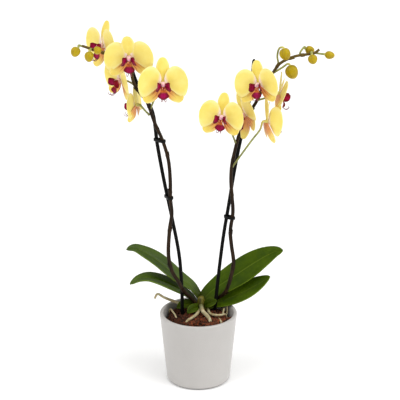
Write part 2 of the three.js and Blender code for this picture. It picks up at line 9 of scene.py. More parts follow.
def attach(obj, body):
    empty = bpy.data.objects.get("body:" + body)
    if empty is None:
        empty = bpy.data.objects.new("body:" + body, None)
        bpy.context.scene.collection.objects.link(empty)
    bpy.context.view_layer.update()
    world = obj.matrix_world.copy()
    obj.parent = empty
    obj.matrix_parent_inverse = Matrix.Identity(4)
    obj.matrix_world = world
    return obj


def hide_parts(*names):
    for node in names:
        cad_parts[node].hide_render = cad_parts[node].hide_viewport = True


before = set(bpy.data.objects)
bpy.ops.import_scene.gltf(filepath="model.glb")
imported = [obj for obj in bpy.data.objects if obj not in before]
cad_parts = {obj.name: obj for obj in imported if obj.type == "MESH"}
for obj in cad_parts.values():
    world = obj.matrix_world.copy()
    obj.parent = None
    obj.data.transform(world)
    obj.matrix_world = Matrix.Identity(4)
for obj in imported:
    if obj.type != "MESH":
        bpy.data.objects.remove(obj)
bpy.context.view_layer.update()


# ---------- Studio ----------
# A pale floor runs back out of view under an even white sky. Broad soft lights stand on both sides and
# overhead, the right one strongest, and the camera looks slightly down on the plant from its front.


def new_object(name, data):
    """An object that holds the data, linked into the scene."""
    made = bpy.data.objects.new(name, data)
    bpy.context.scene.collection.objects.link(made)
    return made


camera = new_object("camera", bpy.data.cameras.new("camera"))
camera.data.sensor_width = 36
camera.data.lens = 100.9
camera.location = (0.0028, -1.8, 0.929)
camera.rotation_euler = (math.radians(71.6), 0, 0)
bpy.context.scene.camera = camera
bpy.context.scene.view_settings.view_transform = "Standard"


def fill_sockets(tree, node, sockets):
    """Gives each named or numbered socket a value, or a link from another node's output."""
    for socket, value in sockets.items():
        if isinstance(value, bpy.types.NodeSocket):
            tree.links.new(value, node.inputs[socket])
        else:
            node.inputs[socket].default_value = value


def add_node(tree, kind, sockets=None, **settings):
    """A shader node, with its settings made before its sockets are filled."""
    node = tree.nodes.new("ShaderNode" + kind)
    for setting, value in settings.items():
        setattr(node, setting, value)
    fill_sockets(tree, node, sockets or {})
    return node


# The camera sees plain white behind the plant, brighter than the sky that lights it.
sky = bpy.data.worlds.new("sky")
sky.use_nodes = True
bpy.context.scene.world = sky
tree = sky.node_tree
sky_light = tree.nodes["Background"]
fill_sockets(tree, sky_light, {"Color": (1, 0.99, 0.975, 1), "Strength": 0.47})
backdrop = add_node(tree, "Background", {"Color": (1, 1, 1, 1)})
seen = add_node(tree, "LightPath").outputs["Is Camera Ray"]
choice = add_node(tree, "MixShader", {0: seen, 1: sky_light.outputs[0], 2: backdrop.outputs[0]})
tree.links.new(choice.outputs[0], tree.nodes["World Output"].inputs["Surface"])


def add_sun(name, strength, softness, tilt, turn):
    """A far light; softness, tilt from overhead and turn round the plant are in degrees."""
    lamp = bpy.data.lights.new(name, "SUN")
    lamp.energy = strength
    lamp.angle = math.radians(softness)
    new_object(name, lamp).rotation_euler = (math.radians(tilt), 0, math.radians(turn))


add_sun("right_light", 1.6, 50, 55, 62)
add_sun("left_light", 1.0, 50, 55, -62)
add_sun("top_light", 0.95, 60, 8, 0)


def blend_colours(tree, share, low, high):
    return add_node(tree, "Mix", {0: share, 6: low, 7: high}, data_type="RGBA").outputs[2]


def calculate(tree, operation, *values):
    return add_node(tree, "Math", dict(enumerate(values)), operation=operation).outputs[0]


def stretch(tree, place, factors):
    return add_node(tree, "VectorMath", {0: place, 1: factors}, operation="MULTIPLY").outputs[0]


def ramp(tree, value, start, end, low=0.0, high=1.0):
    """Turns a value from start to end into one from low to high, eased at both ends."""
    sockets = {"Value": value, "From Min": start, "From Max": end, "To Min": low, "To Max": high}
    return add_node(tree, "MapRange", sockets, interpolation_type="SMOOTHSTEP").outputs["Result"]


def new_group(name, inputs, outputs):
    """A shader node group; inputs are names with their values, outputs are names of colours or floats."""
    group = bpy.data.node_groups.new(name, "ShaderNodeTree")
    for title, value in inputs.items():
        kind = "NodeSocketFloat" if isinstance(value, (int, float)) else "NodeSocketColor"
        kind = "NodeSocketVector" if isinstance(value, Vector) else kind
        group.interface.new_socket(title, in_out="INPUT", socket_type=kind).default_value = value
    for title in outputs:
        kind = "NodeSocketColor" if title == "Colour" else "NodeSocketFloat"
        group.interface.new_socket(title, in_out="OUTPUT", socket_type=kind)
    return group, group.nodes.new("NodeGroupInput"), group.nodes.new("NodeGroupOutput")


def place_group(tree, group, **sockets):
    return add_node(tree, "Group", sockets, node_tree=group).outputs


# Patches of two colours that run into each other, with an even grain over them.
mottle, given, taken = new_group(
    "mottle",
    {"Low": (0, 0, 0, 1), "High": (1, 1, 1, 1), "Scale": 60.0, "Stretch": Vector((1, 1, 1)), "Edge": 0.15},
    ["Colour", "Height"],
)
place = add_node(mottle, "TexCoord").outputs["Object"]
patches = add_node(mottle, "TexNoise", {
    "Vector": stretch(mottle, place, given.outputs["Stretch"]),
    "Scale": given.outputs["Scale"], "Detail": 5, "Roughness": 0.6,
}).outputs[0]
lower = calculate(mottle, "SUBTRACT", 0.5, given.outputs["Edge"])
upper = calculate(mottle, "ADD", 0.5, given.outputs["Edge"])
share = ramp(mottle, patches, lower, upper)
patched = blend_colours(mottle, share, given.outputs["Low"], given.outputs["High"])
fill_sockets(mottle, taken, {"Colour": patched, "Height": patches})


def raise_surface(tree, shader, height, strength, distance):
    bump = add_node(tree, "Bump", {"Height": height, "Strength": strength, "Distance": distance})
    fill_sockets(tree, shader, {"Normal": bump.outputs["Normal"]})


def new_material(name, roughness, low, high, scale, grain=(1, 1, 1), edge=0.15, relief=None):
    """A material of two colours in soft patches, with its tree, its shader and its patches.

    The relief is how strongly and how far, in metres, the patches stand out of the surface.
    """
    material = bpy.data.materials.new(name)
    material.use_nodes = True
    tree = material.node_tree
    shader = tree.nodes["Principled BSDF"]
    patches = place_group(tree, mottle, Low=low, High=high, Scale=scale, Stretch=Vector(grain), Edge=edge)
    fill_sockets(tree, shader, {"Base Color": patches["Colour"], "Roughness": roughness})
    if relief:
        raise_surface(tree, shader, patches["Height"], *relief)
    return material, tree, shader, patches


def mesh_object(name, shape, materials):
    """Ends a shape and gives the object made of it."""
    mesh = bpy.data.meshes.new(name)
    shape.to_mesh(mesh)
    shape.free()
    for material in materials:
        mesh.materials.append(material)
    return new_object(name, mesh)


FLOOR_HALF_WIDTH = 25  # metres
FLOOR_GAP = 0.0004
floor_material, tree, shader, _ = new_material(
    "studio_floor", 0.7, (0.9, 0.9, 0.9, 1), (0.93, 0.93, 0.93, 1), 2.0
)
fill_sockets(tree, shader, {"Emission Color": (1, 1, 1, 1), "Emission Strength": 0.12})
shape = bmesh.new()
bmesh.ops.create_grid(shape, x_segments=4, y_segments=4, size=FLOOR_HALF_WIDTH)
bmesh.ops.translate(shape, verts=shape.verts, vec=(0, 0, -FLOOR_GAP))
mesh_object("studio_floor", shape, [floor_material])


# ---------- Pot ----------
# A cover pot of cast stoneware with a warm grey satin glaze. Its wall tapers straight down from a rounded
# lip to a softly rounded foot, and it is glazed in one piece, inside and out.

MILLIMETRE = 0.001
POT_HEIGHT = 125
POT_RIM_RADIUS = 67.5
POT_FOOT_RADIUS = 51
POT_WALL = 6.5
POT_FLOOR = 8
POT_ROUNDING = 5
POT_SIDES = 128


def add_piece(name, shape, materials, nodes):
    """Makes a finished piece, from millimetres, that rides with the plant and stands for the CAD nodes."""
    bmesh.ops.scale(shape, vec=(MILLIMETRE,) * 3, verts=shape.verts)
    piece = mesh_object(name, shape, materials)
    piece.data.shade_smooth()
    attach(piece, "root")
    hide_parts(*nodes)
    return piece


def colour(red, green, blue):
    """A colour in the 0 to 255 steps of a paint chart, as linear light."""
    return (*(((c / 255 + 0.055) / 1.055) ** 2.4 for c in (red, green, blue)), 1)


def face_outwards(shape):
    bmesh.ops.recalc_face_normals(shape, faces=shape.faces)


def object_place(tree):
    """Where a point lies on a piece, in metres, as X, Y and Z."""
    return add_node(tree, "SeparateXYZ", {0: add_node(tree, "TexCoord").outputs["Object"]}).outputs


def uneven(tree, scale, detail):
    """A value that drifts over a piece, with as many swells to the metre as the scale says."""
    place = add_node(tree, "TexCoord").outputs["Object"]
    return add_node(tree, "TexNoise", {"Vector": place, "Scale": scale, "Detail": detail}).outputs[0]


def pot_radius(height):
    taper = POT_RIM_RADIUS - POT_FOOT_RADIUS - POT_ROUNDING
    return POT_RIM_RADIUS - taper * (POT_HEIGHT - height) / POT_HEIGHT


def rounded(radius, height, curve, start, end, steps):
    """Points along a round corner of the profile, from one angle to another in degrees."""
    angles = [math.radians(start + (end - start) * i / steps) for i in range(steps + 1)]
    return [(radius + curve * math.cos(a), 0, height + curve * math.sin(a)) for a in angles]


lip_curve = POT_WALL / 2
inner_foot = pot_radius(POT_FLOOR) - POT_WALL
pot_profile = [
    (0, 0, 0),
    *rounded(POT_FOOT_RADIUS, POT_ROUNDING, POT_ROUNDING, -90, 0, 8),
    *rounded(POT_RIM_RADIUS - lip_curve, POT_HEIGHT - lip_curve, lip_curve, 0, 180, 16),
    *rounded(inner_foot - POT_ROUNDING, POT_FLOOR + POT_ROUNDING, POT_ROUNDING, 0, -90, 6),
    (0, 0, POT_FLOOR),
]
shape = bmesh.new()
corners = [shape.verts.new(point) for point in pot_profile]
for lower_corner, upper_corner in zip(corners, corners[1:]):
    shape.edges.new((lower_corner, upper_corner))
bmesh.ops.spin(
    shape, geom=shape.verts[:] + shape.edges[:], cent=(0, 0, 0), axis=(0, 0, 1),
    angle=2 * math.pi, steps=POT_SIDES, use_merge=True,
)
bmesh.ops.remove_doubles(shape, verts=shape.verts, dist=0.001)
face_outwards(shape)

glaze, tree, shader, cloud = new_material(
    "satin_glaze", 0.42, colour(175, 172, 169), colour(181, 178, 175), 14.0, edge=0.3
)
# Painted shade: the glaze is darkened over its lowest few millimetres, where the foot meets the floor.
at_foot = ramp(tree, object_place(tree)["Z"], 0.0005, 0.0045, 1, 0)
darker = blend_colours(tree, at_foot, cloud["Colour"], colour(96, 92, 87))
speck = ramp(tree, uneven(tree, 6800, 1), 0.71, 0.76, 0, 0.35)
fill_sockets(tree, shader, {
    "Base Color": blend_colours(tree, speck, darker, colour(150, 140, 128)),
    "Roughness": ramp(tree, cloud["Height"], 0.3, 0.7, 0.36, 0.48),
    "Coat Weight": 0.3, "Coat Roughness": 0.25,
})
raise_surface(tree, shader, uneven(tree, 270, 2), 0.12, 0.002)
add_piece("pot_glazed", shape, [glaze], ["pot"])


# ---------- Potting bark ----------
# Chips of pine bark, 15 to 35 mm long, lie loose in the pot up to a finger's width below its rim.
# They are split along the grain, weathered dark brown outside and red-brown where they broke.

BARK_CHIPS = 118
BARK_LEVEL = 107
BARK_RADIUS = 58.8
CHIP_SPREAD = 52
CHIPS_LOWEST, CHIPS_HIGHEST = -6.5, 5.5
HEAP_MIDDLE, HEAP_DEPTH = 70, 60

block = bmesh.new()
bmesh.ops.create_cube(block, size=1)
bmesh.ops.subdivide_edges(block, edges=block.edges, cuts=2, use_grid_fill=True)
block_mesh = bpy.data.meshes.new("block")
block.to_mesh(block_mesh)
block.free()


def add_chip(shape, rng, centre, heading):
    """A broken chip: a subdivided block, roughened, turned and laid down inside the pot's wall."""
    whole = len(shape.verts)
    shape.from_mesh(block_mesh)
    shape.verts.ensure_lookup_table()
    size = Vector((rng.uniform(17, 30), rng.uniform(9, 17), rng.uniform(5, 9)))
    turn = Euler((rng.uniform(-0.45, 0.45), rng.uniform(-0.35, 0.35), heading)).to_matrix()
    seed = Vector((rng.uniform(0, 90), rng.uniform(0, 90), rng.uniform(0, 90)))
    for vert in shape.verts[whole:]:
        rough = 1 + 0.38 * noise.noise(vert.co * 1.7 + seed)
        pinch = 1 - 0.5 * abs(vert.co.x) ** 2
        local = Vector((vert.co.x * size.x, vert.co.y * size.y * pinch, vert.co.z * size.z)) * rough
        local.z += 1.6 * noise.noise(vert.co * 4 + seed)
        vert.co = turn @ local + centre
        flat = math.hypot(vert.co.x, vert.co.y)
        if flat > BARK_RADIUS:
            vert.co.xy = vert.co.xy * (BARK_RADIUS / flat)


shape = bmesh.new()
rng = random.Random(11)
golden_angle = math.pi * (3 - math.sqrt(5))
for index in range(BARK_CHIPS):
    radius = CHIP_SPREAD * math.sqrt((index + 0.5) / BARK_CHIPS)
    bearing = index * golden_angle
    level = BARK_LEVEL + rng.uniform(CHIPS_LOWEST, CHIPS_HIGHEST)
    centre = Vector((radius * math.cos(bearing), radius * math.sin(bearing), level))
    along_wall = bearing + math.pi / 2 + rng.uniform(-0.5, 0.5)
    heading = along_wall if radius > 40 else rng.uniform(0, math.pi)
    add_chip(shape, rng, centre, heading)
# Under the top chips the heap goes down between the pot's walls.
bmesh.ops.create_cone(
    shape, cap_ends=True, segments=48, radius1=50, radius2=58, depth=HEAP_DEPTH,
    matrix=Matrix.Translation((0, 0, HEAP_MIDDLE)),
)
face_outwards(shape)
bpy.data.meshes.remove(block_mesh)

bark, tree, shader, layers = new_material(
    "pine_bark", 0.9, colour(20, 11, 7), colour(82, 46, 30), 90.0, (1, 1, 2.5), 0.14, (0.8, 0.003)
)
redder = ramp(tree, uneven(tree, 340, 2), 0.53, 0.62)
warm = blend_colours(tree, redder, layers["Colour"], colour(134, 64, 34))
dusty = ramp(tree, uneven(tree, 2300, 3), 0.58, 0.72, 0, 0.6)
dusted = blend_colours(tree, dusty, warm, colour(140, 108, 78))
place = object_place(tree)
# Painted shade: the chips under the left leaves are darkened, and so are the low chips in the hollows between
# the others, which also stand for damp bark.
under_leaves = ramp(tree, place["X"], -0.03, -0.012, 0.6, 0)
shaded = blend_colours(tree, under_leaves, dusted, colour(26, 14, 8))
deep_shade_and_damp = ramp(tree, place["Z"], 0.1065, 0.1145, 0.95, 0)
fill_sockets(tree, shader, {
    "Base Color": blend_colours(tree, deep_shade_and_damp, shaded, colour(10, 6, 4)), "Specular IOR Level": 0.15,
})
add_piece("bark_chips", shape, [bark], ["bark_bed"]).data.shade_flat()


# ---------- Crown ----------
# The plant's short stem, which sits in the bark and is wrapped in the split sheaths of its leaves.
# It carries the leaves, the roots and both flower stems.

CROWN_LINE = [[6, 36, 88], [6, 34, 112], [5, 32, 128], [4, 31, 139]]
FINE_STEPS = 20


def smooth_line(points, steps):
    """An even walk along a smooth line through the points, as places and distances."""
    points = [Vector(point) for point in points]
    ends = [2 * points[0] - points[1], *points, 2 * points[-1] - points[-2]]
    walk = []
    for a, b, c, d in zip(ends, ends[1:], ends[2:], ends[3:]):
        before, between, after = ((q - p).length ** 0.5 for p, q in ((a, b), (b, c), (c, d)))
        leave = (b - a) / before - (c - a) / (before + between) + (c - b) / between
        arrive = (c - b) / between - (d - b) / (between + after) + (d - c) / after
        leave, arrive = leave * between, arrive * between
        for i in range(FINE_STEPS):
            t = i / FINE_STEPS
            bend = (2 * b - 2 * c + leave + arrive) * t ** 3 + (3 * c - 3 * b - 2 * leave - arrive) * t ** 2
            walk.append(bend + leave * t + b)
    walk.append(points[-1])
    reached = [0.0]
    for a, b in zip(walk, walk[1:]):
        reached.append(reached[-1] + (b - a).length)
    even, index = [], 0
    for step in range(steps + 1):
        distance = reached[-1] * step / steps
        while index < len(walk) - 2 and reached[index + 1] < distance:
            index += 1
        gap = reached[index + 1] - reached[index]
        even.append(walk[index].lerp(walk[index + 1], (distance - reached[index]) / gap))
    return even, reached[-1]


def add_sheet(shape, columns, rows):
    """A flat sheet from -1 to 1 each way, ready to be bent, with its map of length and breadth."""
    return bmesh.ops.create_grid(shape, x_segments=columns, y_segments=rows, size=1, calc_uvs=True)["verts"]


def give_material(verts, material_index):
    for face in {face for vert in verts for face in vert.link_faces}:
        face.material_index = material_index


def add_limb(shape, points, radius_at, sides, steps, material_index=0):
    """A round limb along a smooth line: a sheet rolled up round the line and closed at both ends."""
    line, length = smooth_line(points, steps)
    tangents = [(line[min(i + 1, steps)] - line[max(i - 1, 0)]).normalized() for i in range(steps + 1)]
    side = tangents[0].orthogonal().normalized()
    frames = []
    for tangent in tangents:
        side = (side - tangent * side.dot(tangent)).normalized()
        frames.append((side, tangent.cross(side)))
    rolled = add_sheet(shape, sides, steps + 2)
    for vert in rolled:
        turn = math.pi * (vert.co.x + 1)
        ring = round((vert.co.y + 1) / 2 * (steps + 2)) - 1
        step = min(max(ring, 0), steps)
        radius = radius_at(length * step / steps, length, turn) if 0 <= ring <= steps else 0.02
        first, second = frames[step]
        vert.co = line[step] + radius * (math.cos(turn) * first + math.sin(turn) * second)
    give_material(rolled, material_index)
    bmesh.ops.remove_doubles(shape, verts=rolled, dist=0.05)


def new_shape():
    """An empty shape that keeps a map of each piece's length and breadth."""
    shape = bmesh.new()
    shape.loops.layers.uv.new("spread")
    return shape


def add_limb_piece(name, points, radius_at, sides, steps, material, node):
    """A finished piece that is one round limb."""
    shape = new_shape()
    add_limb(shape, points, radius_at, sides, steps)
    face_outwards(shape)
    add_piece(name, shape, [material], [node])


def crown_radius(distance, length, turn):
    return (10 - 5 * (distance / length) ** 3) * (1 + 0.05 * math.cos(2 * turn))


sheath, *_ = new_material(
    "leaf_sheath", 0.55, colour(54, 54, 4), colour(112, 104, 20), 160.0, (1, 1, 0.15), relief=(0.4, 0.002)
)
add_limb_piece("crown_sheath", CROWN_LINE, crown_radius, 32, 24, sheath, "crown")


# ---------- Roots ----------
# Fat aerial roots leave the crown, wander over the bark and dive into it. A spongy skin, silvery grey when
# dry, covers them, stained tan and green, and their surface swells and narrows along the way.

ROOTS = {
    "root_over_rim_left": (1.25, [
        [-3, 30, 121], [-15, 27, 126], [-33, 24, 130], [-47, 22, 136], [-61, 20, 143], [-72, 18, 150],
        [-77, 17, 142],
    ]),
    "root_thin_left": (0.75, [
        [-52, 24, 104], [-50, 22, 119], [-45, 13, 118], [-39, -4, 115], [-35, -12, 102],
    ]),
    "root_fork_left": (1.2, [[2, 20, 121], [-3, 1, 119], [-11, -9, 117], [-20, -21, 115], [-25, -27, 101]]),
    "root_large_front": (1.6, [[4, 20, 128], [8, 9, 121], [15, -2, 118], [20, -17, 116], [23, -26, 101]]),
    "root_right_arm": (1.05, [
        [16, 21, 121], [21, 6, 118], [31, -3, 119], [39, -3, 119], [47, 4, 117], [51, 8, 103],
    ]),
    "root_right_branch": (1.0, [[35, -11, 116], [39, -19, 114], [42, -26, 102]]),
    "root_right_small": (0.8, [[42, 12, 103], [44, 16, 118], [46, 26, 119], [47, 32, 104]]),
    "root_over_rim_right": (0.8, [[41, 36, 104], [43, 34, 119], [47, 30, 126], [51, 24, 120], [49, 17, 106]]),
}
ROOT_RADIUS = 2.2


def across_and_along(tree):
    """The share across a sheet, 0 to 1, and the share along it."""
    spread = add_node(tree, "UVMap", uv_map="spread").outputs["UV"]
    split = add_node(tree, "SeparateXYZ", {0: spread})
    return split.outputs["X"], split.outputs["Y"], spread


root_skin, tree, shader, skin = new_material(
    "root_skin", 0.8, colour(128, 122, 84), colour(196, 194, 160), 120.0, edge=0.2, relief=(0.5, 0.0015)
)
green = ramp(tree, uneven(tree, 1400, 2), 0.5, 0.68, 0, 0.7)
stained = blend_colours(tree, green, skin["Colour"], colour(122, 134, 66))
bruise = ramp(tree, uneven(tree, 1900, 2), 0.52, 0.6, 0, 0.75)
bruised = blend_colours(tree, bruise, stained, colour(196, 142, 98))
soil = ramp(tree, uneven(tree, 8000, 3), 0.56, 0.68, 0, 0.7)
soiled = blend_colours(tree, soil, bruised, colour(74, 50, 30))
_, along, _ = across_and_along(tree)
young_end = ramp(tree, along, 0.02, 0.24, 0.9, 0)
tree.links.new(blend_colours(tree, young_end, soiled, colour(74, 78, 22)), shader.inputs["Base Color"])
for name, (scale, line) in ROOTS.items():
    phase = Vector((scale * 17, len(line), 0))

    def root_radius(distance, length, turn, scale=scale, phase=phase):
        swelling = 1 + 0.1 * noise.noise(phase + Vector((0, 0, distance * 0.12)))
        return ROOT_RADIUS * scale * (1 - 0.35 * (distance / length) ** 2) * swelling

    add_limb_piece(name + "_skin", line, root_radius, 16, 60, root_skin, name)


# ---------- Leaves ----------
# Thick leathery leaves grow from the crown in two ranks, blunt at the tip and folded along a sunken midrib.
# Their upper side is waxy and dark green, and the underside is duller and paler.

LEAVES = {
    "leaf_left_upper": (20, (0.5, -0.38, 0.75), [
        [1, 37, 138], [-12, 38, 156], [-33, 37, 172], [-53, 35, 190], [-76, 32, 211], [-97, 30, 225],
        [-112, 29, 232], [-125, 28, 230],
    ]),
    "leaf_left_lower": (19, (0.15, -0.2, 0.95), [
        [-4, 33, 125], [-16, 32, 140], [-32, 30, 152], [-53, 27, 165], [-73, 23, 175], [-90, 20, 180],
        [-106, 17, 178], [-119, 15, 170],
    ]),
    "leaf_right_upper": (26, (-0.35, -0.72, 0.58), [
        [6, 35, 129], [22, 42, 144], [44, 44, 160], [72, 43, 180], [97, 40, 199], [119, 36, 215],
        [135, 33, 224], [147, 31, 227],
    ]),
    "leaf_right_lower": (22, (-0.25, -0.5, 0.82), [
        [14, 34, 120], [31, 37, 126], [54, 35, 135], [83, 31, 150], [105, 27, 165], [125, 22, 181],
    ]),
    "leaf_small_right": (9, (-0.2, -0.75, 0.6), [[11, 26, 124], [17, 22, 130], [24, 19, 134], [32, 18, 137]]),
    "leaf_small_left_back": (9, (0.1, -0.75, 0.6), [
        [-2, 26, 123], [-13, 22.5, 129], [-26, 19.5, 130], [-38, 17, 124],
    ]),
    "leaf_small_left_front": (8, (0.1, -0.8, 0.5), [
        [0, 22, 124], [-6, 14, 126], [-13, 7, 125], [-19, 1, 121],
    ]),
}
LEAF_GROOVE = 5
LEAF_THICKNESS = 2
LEAF_BASE, LEAF_TIP = 0.4, 0.1


def round_tip(share, start):
    """Narrows a blade to a round end past the given share of its length."""
    return math.sqrt(max(0.02, 1 - (max(0, share - start) / (1 - start)) ** 2))


def add_leaf(shape, half_width, facing, midrib, columns=18, rows=60):
    steps = 4 * rows
    line, _ = smooth_line(midrib, steps)
    up = Vector(facing).normalized()
    sheet = add_sheet(shape, columns, rows)
    for vert in sheet:
        t, share = vert.co.x, math.sin(math.pi * (vert.co.y + 1) / 4)
        row = round(share * steps)
        tangent = (line[min(row + 4, steps)] - line[max(row - 4, 0)]).normalized()
        side = tangent.cross(up).normalized()
        normal = side.cross(tangent)
        clasp = LEAF_TIP + (LEAF_BASE - LEAF_TIP) * (1 - share) ** 4
        outline = clasp + 0.8 * math.sin(math.pi * share ** 1.15) ** 0.75
        width = half_width * outline * round_tip(share, 0.97)
        fold = LEAF_GROOVE * (width / half_width) * (abs(t) - 0.35 * t * t)
        crease = -0.8 * math.exp(-((t / 0.07) ** 2)) * min(1, half_width / 15)
        wander = Vector((share * 3, t * 1.1, half_width))
        swell = 1.3 * noise.noise(wander) * abs(t) * min(1, half_width / 15)
        vert.co = line[row] - side * width * t + normal * (fold + crease + swell)


def skin_both_sides(piece, thickness):
    """Gives a sheet its thickness, half to each side."""
    wall = piece.modifiers.new("thickness", "SOLIDIFY")
    wall.thickness = thickness * MILLIMETRE
    wall.offset = 0


def from_midline(tree, across):
    """How far a point lies from a sheet's midline, 0 to 0.5."""
    return calculate(tree, "ABSOLUTE", calculate(tree, "SUBTRACT", across, 0.5))


def leaf_material(name, low, high, gloss):
    """A waxy blade, paler at its rib and edge, darker along its veins, with painted shade towards its base.
    """
    material, tree, shader, cells = new_material(name, 0.4, low, high, 26.0, edge=0.25)
    across, along, spread = across_and_along(tree)
    from_rib = from_midline(tree, across)
    rib = ramp(tree, from_rib, 0.004, 0.035, 0.55, 0)
    ribbed = blend_colours(tree, rib, cells["Colour"], colour(108, 128, 34))
    edge = ramp(tree, from_rib, 0.465, 0.498, 0, 0.6)
    edged = blend_colours(tree, edge, ribbed, colour(112, 134, 36))
    veins = add_node(tree, "TexNoise", {
        "Vector": stretch(tree, spread, Vector((70, 2.2, 1))), "Scale": 1.0, "Detail": 3,
    }).outputs[0]
    veined = blend_colours(tree, ramp(tree, veins, 0.5, 0.7, 0, 0.35), edged, colour(34, 58, 2))
    # Painted shade: each blade darkens towards its base, where the crown and the other leaves shade it.
    base_shade = ramp(tree, along, 0.0, 0.1, 0.75, 0)
    fill_sockets(tree, shader, {
        "Base Color": blend_colours(tree, base_shade, veined, colour(46, 50, 4)),
        "Roughness": ramp(tree, cells["Height"], 0.3, 0.7, 0.3, 0.45), "Specular IOR Level": gloss,
    })
    raise_surface(tree, shader, veins, 0.25, 0.0015)
    return material


leaf_skin = leaf_material("waxy_leaf", colour(48, 70, 0), colour(72, 94, 2), 0.07)
# The older leaves on the left have a greyer bloom of wax, which shows the light more.
old_leaf_skin = leaf_material("old_waxy_leaf", colour(48, 70, 0), colour(72, 94, 2), 0.28)
# The young leaves at the crown get a darker copy of the leaf material, painted shade from the flower stems
# and older leaves over them.
shaded_young_leaf_skin = leaf_material("shaded_young_waxy_leaf", colour(40, 56, 0), colour(60, 76, 2), 0.07)
for name, (half_width, facing, midrib) in LEAVES.items():
    shape = new_shape()
    add_leaf(shape, half_width, facing, midrib)
    face_outwards(shape)
    skin = shaded_young_leaf_skin if "small" in name else leaf_skin
    if name in ("leaf_left_upper", "leaf_left_lower"):
        skin = old_leaf_skin
    piece = add_piece(name + "_blade", shape, [skin], [name])
    skin_both_sides(piece, LEAF_THICKNESS)


# ---------- Support sticks ----------
# Two stained split-cane sticks, pushed down through the bark, hold the flower stems up. They are dark,
# slightly glossy, and bend a little with the stems that are tied to them.

STICKS = {
    "stick_left": [
        [-25, 10, 40], [-28, 9, 108], [-29, 8, 164], [-33, 7, 226], [-45, 4, 297], [-58, 0, 366],
        [-68, -2, 427], [-76, -4, 486], [-91, -8, 515], [-102, -13, 540], [-109, -19, 568],
        [-113, -25, 603],
    ],
    "stick_right": [
        [27, 27, 40], [29, 26, 110], [33, 24, 161], [43, 21, 255], [52, 20, 315], [60, 20, 369],
        [67.5, 21, 412], [76.5, 22, 457], [85, 20, 500], [91.5, 16, 568],
    ],
}
STICK_RADIUS = 3.1
STICK_END_RADIUS = 1.6


def stick_radius(distance, length, turn):
    return STICK_END_RADIUS if distance > length - 1 else STICK_RADIUS


cane, tree, shader, grain = new_material(
    "stained_cane", 0.45, colour(3, 4, 3), colour(15, 14, 12), 500.0, (1, 1, 0.04), 0.2, (0.3, 0.0006)
)
shine = ramp(tree, grain["Height"], 0.3, 0.7, 0.35, 0.55)
fill_sockets(tree, shader, {"Roughness": shine, "Specular IOR Level": 0.08})
for name, line in STICKS.items():
    add_limb_piece(name + "_cane", line, stick_radius, 20, 160, cane, name)


# ---------- Flower stems ----------
# Each flower stem rises from the crown, leans on its stick, and arches over at the top, where it carries
# blooms and then buds. Every few centimetres it has a joint, with a small dry scale leaf pressed to it.

STEMS = {
    "stem_left": [
        [-6, 24, 131], [-15, 12, 147], [-26, 0, 164], [-35, -4, 183], [-45, -6, 202], [-51, -6, 230],
        [-49, -6, 278], [-45, -7, 308], [-47, -9, 336], [-47, -10, 369], [-50, -11, 405], [-59, -13, 438],
        [-72, -15, 470], [-84, -18, 505], [-97, -20, 523], [-105, -23, 540], [-109, -28, 565],
        [-115, -34, 585], [-130, -42, 594], [-149, -46, 591], [-165, -48, 596], [-183, -48, 602],
    ],
    "stem_right": [
        [15, 37, 127], [26, 37, 132], [37, 31, 139], [46, 20, 151], [52, 12, 168], [57, 10, 188],
        [61, 10, 212], [57, 10, 245], [55, 11, 270], [59, 11, 305], [57, 9, 335], [55, 5, 364],
        [56, 2, 390], [61, 3, 416], [68, 6, 443], [79, 7, 471], [96, 4, 500], [108, -3, 529],
        [120, -12, 550], [132, -14, 567], [154, -18, 579], [174, -20, 583], [186, -20, 585], [194, -20, 591],
    ],
}
STEM_RADIUS = 3
JOINTS = [45, 100, 165, 235, 300, 350, 390, 425, 455, 480, 505, 525]
STEM_STEPS = 600
SCALE_LEAF_LENGTH = 9


def add_scale_leaf(shape, foot, tangent, away, radius):
    """A small pointed scale that wraps half round the stem above a joint."""
    sheet = add_sheet(shape, 8, 8)
    side = tangent.cross(away).normalized()
    for vert in sheet:
        share = (vert.co.y + 1) / 2
        turn = vert.co.x * 1.7 * (1 - share) ** 0.7
        out = radius + 0.25 + 1.1 * share ** 2
        around = math.cos(turn) * away + math.sin(turn) * side
        vert.co = foot + tangent * (SCALE_LEAF_LENGTH * share - 1) + out * around
    faces = list({face for vert in sheet for face in vert.link_faces})
    bmesh.ops.solidify(shape, geom=faces, thickness=0.35)


stem_skin, tree, shader, bark_like = new_material(
    "flower_stem", 0.5, colour(20, 12, 6), colour(50, 34, 18), 180.0, (1, 1, 0.2), 0.2, (0.35, 0.0008)
)
green = place_group(
    tree, mottle, Low=colour(84, 66, 30), High=colour(122, 104, 48),
    Scale=160.0, Stretch=Vector((1, 1, 0.3)), Edge=0.2,
)
young = ramp(tree, object_place(tree)["Z"], 0.52, 0.58, 0, 0.8)
fill_sockets(tree, shader, {
    "Base Color": blend_colours(tree, young, bark_like["Colour"], green["Colour"]),
    "Specular IOR Level": 0.12,
})
for name, line in STEMS.items():
    shape = new_shape()

    def stem_radius(distance, length, turn):
        joint = sum(math.exp(-(((distance - at) / 2.2) ** 2)) for at in JOINTS)
        return STEM_RADIUS * (1.12 - 0.42 * (distance / length) ** 2) + 0.45 * joint

    add_limb(shape, line, stem_radius, 20, 300)
    walk, length = smooth_line(line, STEM_STEPS)
    for index, joint in enumerate(JOINTS):
        at = round(STEM_STEPS * joint / length)
        if 0 < at < STEM_STEPS:
            tangent = (walk[at + 1] - walk[at - 1]).normalized()
            away = Vector((-1 if index % 2 else 1, -0.7, 0))
            away = (away - tangent * away.dot(tangent)).normalized()
            add_scale_leaf(shape, walk[at], tangent, away, stem_radius(joint, length, 0))
    add_piece(name + "_skin", shape, [stem_skin], [name])


# ---------- Clips ----------
# Small dark plastic clips hold each stem to its stick. A flat oval band goes round both, and the top one
# shows the two finger tabs that press it open.

